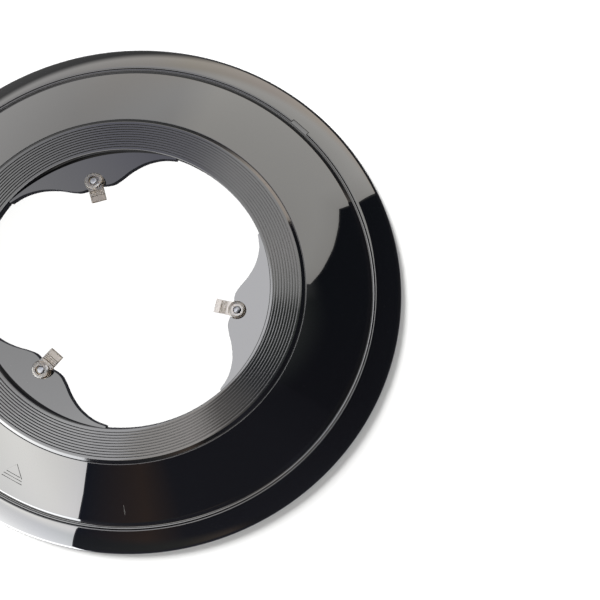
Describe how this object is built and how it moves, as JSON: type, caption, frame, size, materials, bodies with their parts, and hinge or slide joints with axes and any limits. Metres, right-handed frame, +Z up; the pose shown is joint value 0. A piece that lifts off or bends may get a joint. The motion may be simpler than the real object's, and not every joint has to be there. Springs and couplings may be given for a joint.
{
  "type": "trim collar",
  "caption": "Round shallow-domed black plastic trim collar: outer bezel, sloping dish, grooved inner band and inward lobes that carry clear swivelling retaining clips.",
  "frame": {"origin": "centre of the opening, on the plane that the outer bezel rests on", "axes": "+Z up, away from the surface the collar rests on; the first lobe points 108 degrees anticlockwise from +X"},
  "size_m": [0.3, 0.3, 0.0455],
  "materials": {
    "black_abs": "polished injection-moulded ABS, mirror-like",
    "clear_clip": "clear moulded polycarbonate, slightly yellowed",
    "washer_nylon": "natural nylon",
    "rivet_steel": "plain steel, formed head",
    "screw_steel": "zinc-plated steel",
    "foam_gasket": "closed-cell foam, matt"
  },
  "bodies": {
    "collar": {"outer_bezel": "black_abs", "dish_shell": "black_abs", "grooved_band": "black_abs", "lobe_carrier": "black_abs", "base_gasket": "foam_gasket", "clip_rivet_1": "rivet_steel", "clip_rivet_2": "rivet_steel", "clip_rivet_3": "rivet_steel", "clip_washer_1": "washer_nylon", "clip_washer_2": "washer_nylon", "clip_washer_3": "washer_nylon", "rim_screw_1": "screw_steel", "rim_screw_2": "screw_steel", "rim_screw_3": "screw_steel", "rim_screw_4": "screw_steel", "rim_screw_5": "screw_steel", "rim_screw_6": "screw_steel", "carrier_screw_1": "screw_steel", "carrier_screw_2": "screw_steel", "carrier_screw_3": "screw_steel", "carrier_screw_4": "screw_steel", "carrier_screw_5": "screw_steel", "carrier_screw_6": "screw_steel"},
    "clip_1": {"retaining_clip_1": "clear_clip"},
    "clip_2": {"retaining_clip_2": "clear_clip"},
    "clip_3": {"retaining_clip_3": "clear_clip"}
  },
  "joints": [
    {"name": "clip_1_swivel", "type": "hinge", "parent": "collar", "child": "clip_1", "pos_m": [-0.01777, 0.05469, 0.04211], "axis": [-0.043, 0.1324, 0.9903], "continuous": true},
    {"name": "clip_2_swivel", "type": "hinge", "parent": "collar", "child": "clip_2", "pos_m": [0.05624, -0.01196, 0.04211], "axis": [0.1361, -0.0289, 0.9903], "continuous": true},
    {"name": "clip_3_swivel", "type": "hinge", "parent": "collar", "child": "clip_3", "pos_m": [-0.03848, -0.04273, 0.04211], "axis": [-0.0931, -0.1034, 0.9903], "continuous": true}
  ]
}
